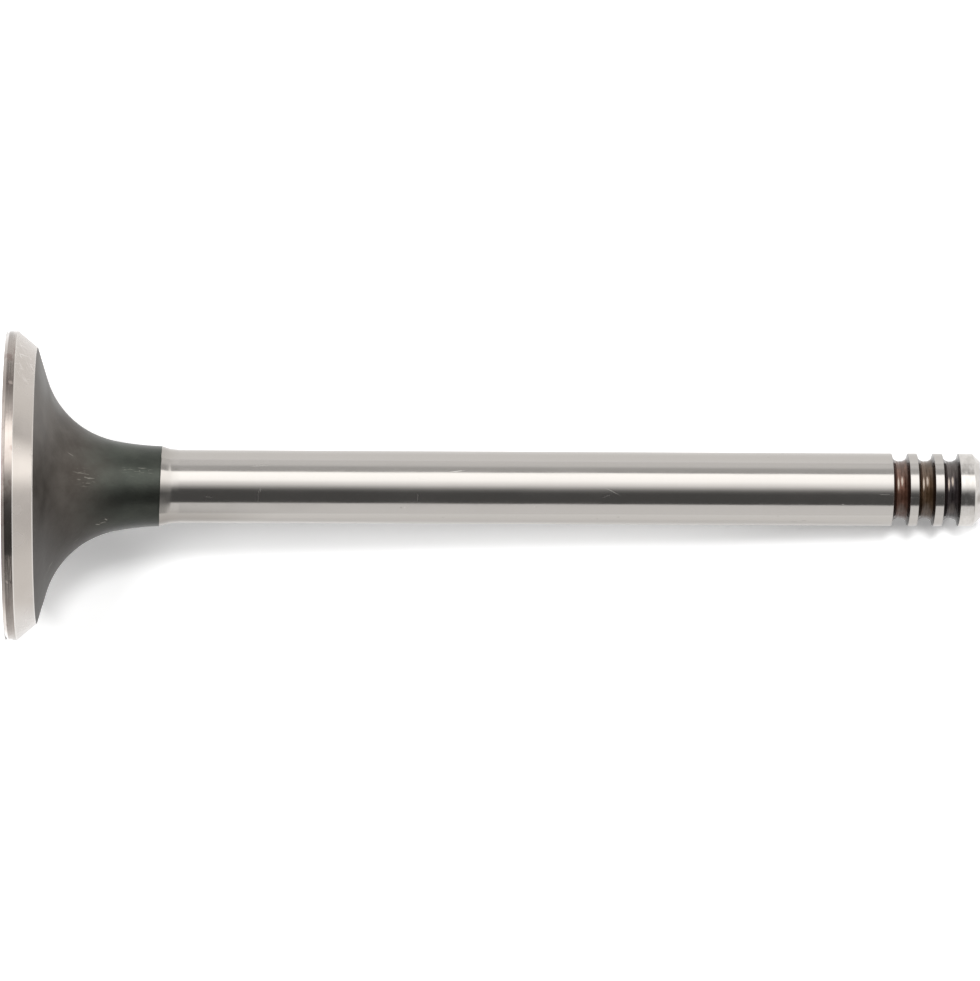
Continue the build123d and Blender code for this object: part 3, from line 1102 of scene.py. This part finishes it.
HIGH = [
    (-180, 0.9), (-128, 1.05), (-100, 1.1), (-89, 1.0), (-70, 0.92), (-42, 0.83), (-23, 0.8), (-8, 1.0),
    (0, 1.2), (12, 1.7), (30, 2.2), (45, 2.2), (58, 1.7), (70, 1.0), (82, 0.65), (96, 0.55), (110, 1.0),
    (128, 1.5), (140, 1.3), (155, 0.9), (180, 0.85),
]
TOP = [
    (-180, 0.7), (-150, 0.55), (-136, 0.5), (-120, 0.7), (-90, 0.95), (-70, 0.9), (-42, 0.85), (-23, 0.85),
    (-8, 1.05), (0, 1.25), (10, 1.75), (23, 2.3), (42, 2.6), (52, 2.3), (58, 1.95), (70, 1.25), (85, 1.0),
    (100, 1.15), (115, 1.5), (124, 2.2), (141, 2.4), (150, 1.4), (160, 0.9), (180, 0.7),
]
ZENITH = [(-180, 0.65), (180, 0.65)]
WALL_ROWS = [
    (-9.0, DEEP), (-0.8, DEEP), (-0.5, UNDER), (-0.14, UNDER), (-0.08, RIM), (-0.013, RIM),
    (-0.012, FOOT), (0.02, FOOT), (0.045, STEM), (0.145, STEM), (0.165, TIP), (0.169, TIP),
    (0.171, END), (0.18, END), (0.2, NECK), (0.45, LOWER), (1.0, UPPER), (1.6, HIGH),
    (2.3, TOP), (3.6, TOP), (5.0, ZENITH), (60.0, ZENITH),
]
print(len(WALL_ROWS), "rows, from", WALL_ROWS[0][0], "to", WALL_ROWS[-1][0], "m")

# %% [markdown]
# The wall itself is one round sheet. It keeps a strength at every point, and its card glows by that
# much. It lights nothing by itself, because only the metal's reflections see it.

# %% Light wall
WALL_DISTANCE = 0.6
WALL_STEP = 0.5


def glowing_card():
    """An even grey or white for the metal to reflect, from the strengths stored on the sheet."""
    material, tree = new_material("glowing_card")
    strength = add_node(tree, "ShaderNodeAttribute", attribute_name="strength")["Fac"]
    glow = add_node(tree, "ShaderNodeEmission", {"Strength": strength})["Emission"]
    add_node(tree, "ShaderNodeOutputMaterial", {"Surface": glow})
    material.cycles.emission_sampling = "NONE"
    return material


def light_wall(name, rows):
    """A round wall whose strength follows the (angle, strength) pairs of each row."""
    angles = np.arange(-180, 180 + WALL_STEP, WALL_STEP)
    x = -WALL_DISTANCE * np.sin(np.radians(angles))
    y = -WALL_DISTANCE * np.cos(np.radians(angles))
    vertices = [(a, b, height) for height, _ in rows for a, b in zip(x, y)]
    strengths = np.concatenate([np.interp(angles, *zip(*profile)) for _, profile in rows])
    count = len(angles)
    faces = [(i, i + 1, count + i + 1, count + i)
             for start in range(0, count * (len(rows) - 1), count)
             for i in range(start, start + count - 1)]
    sheet = bpy.data.meshes.new(name)
    sheet.from_pydata(vertices, [], faces)
    sheet.attributes.new("strength", "FLOAT", "POINT").data.foreach_set("value", strengths)
    sheet.materials.append(glowing_card())
    wall = bpy.data.objects.new(name, sheet)
    bpy.context.scene.collection.objects.link(wall)
    wall.visible_camera = False
    wall.visible_diffuse = False
    wall.visible_shadow = False
    return wall


wall = light_wall("light_wall", WALL_ROWS)
print("light wall has", len(wall.data.polygons), "cards in", len(WALL_ROWS) - 1, "rows")

# %% [markdown]
# ### Lamps
#
# The lamps light what is matt: the card and the oxide. A small and a wider key lamp stand near the lens,
# so the stem's shadow on the board stays close and keeps a fairly crisp edge. The low lamp, under the
# lens, lifts the shadow that the head would throw, two side lamps stand on the softbox's side, and the
# top lamp shines straight down, onto the floor. Each row is a name, the turn from the front, the rise and
# the size in degrees, and a share: 1 would make white paper that faces the lamp exactly white. The
# shares come to a little over 1 on a surface that faces the camera.

# %% Lamps
LAMPS = [
    ("key_lamp", 15, 1, 9, 0.34),
    ("wide_key_lamp", 19, 19, 20, 0.27),
    ("low_lamp", 6, -24, 15, 0.36),
    ("low_side_lamp", 53, -20, 7, 0.07),
    ("high_side_lamp", 60, 46, 7, 0.43),
    ("top_lamp", 0, 90, 10, 0.9),
]
for name, turn, rise, size, share in LAMPS:
    turn, rise = radians(turn), radians(rise)
    toward = Vector((-sin(turn) * cos(rise), -cos(turn) * cos(rise), sin(rise)))
    sun = bpy.data.lights.new(name, "SUN")
    sun.energy = share * np.pi
    sun.angle = radians(size)
    lamp = bpy.data.objects.new(name, sun)
    lamp.rotation_euler = toward.to_track_quat("Z", "Y").to_euler()
    lamp.visible_glossy = False
    bpy.context.scene.collection.objects.link(lamp)
    print(name, "gives", share, "of white")

# %% [markdown]
# ### Room
#
# The rest of the room is an even white tent. The metal and the eye see it as white, and it lights
# matt surfaces a little from every side.

# %% Room light
TENT_LIGHT = 0.06
world = bpy.data.worlds.new("white_tent")
bpy.context.scene.world = world
world.use_nodes = True
tree = world.node_tree
tree.nodes.clear()
tent_light = {"Value": direct_view(tree), "To Min": TENT_LIGHT}
strength = add_node(tree, "ShaderNodeMapRange", tent_light)["Result"]
even_white = {"Color": srgb("#FFFFFF"), "Strength": strength}
tent = add_node(tree, "ShaderNodeBackground", even_white)["Background"]
add_node(tree, "ShaderNodeOutputWorld", {"Surface": tent})
world.cycles.sampling_method = "NONE"
print("tent light", TENT_LIGHT)

# %% [markdown]
# ## The camera
#
# A long lens from the front, turned on its side so that the stem runs across the render. It stands two
# degrees low, so the tip is a little farther away than the head. Its place follows from where the
# middle of the combustion face falls in the render, in pixels, and how far away that is, in
# millimetres.

# %% Camera
IMAGE_SIZE = (980, 981)
LENS = 236.0
SENSOR = 36.0
AWAY = radians(2.0)
ROLL = radians(0.26)
FACE_DEPTH = 700.6
FACE_PIXEL = (6.8, 485.5)
NEAR_CLIP = 0.01

pixels = LENS / SENSOR * max(IMAGE_SIZE)
back = Vector((0, -cos(AWAY), -sin(AWAY)))
along = Vector((0, -sin(AWAY), cos(AWAY)))
upward = Vector((-1, 0, 0))
right = cos(ROLL) * along + sin(ROLL) * upward
up = cos(ROLL) * upward - sin(ROLL) * along
face_x = (FACE_PIXEL[0] - IMAGE_SIZE[0] / 2) / pixels * FACE_DEPTH
face_y = (IMAGE_SIZE[1] / 2 - FACE_PIXEL[1]) / pixels * FACE_DEPTH
place = (back * FACE_DEPTH - right * face_x - up * face_y) * MM

lens = bpy.data.cameras.new("camera")
lens.lens = LENS
lens.sensor_width = SENSOR
lens.clip_start = NEAR_CLIP
camera = bpy.data.objects.new("camera", lens)
rows = [(*row, p) for row, p in zip(zip(right, up, back), place)]
camera.matrix_world = Matrix([*rows, (0, 0, 0, 1)])
bpy.context.scene.collection.objects.link(camera)
bpy.context.scene.camera = camera
bpy.context.scene.view_settings.view_transform = "Standard"
print("camera at", [round(v, 1) for v in place / MM], "mm")
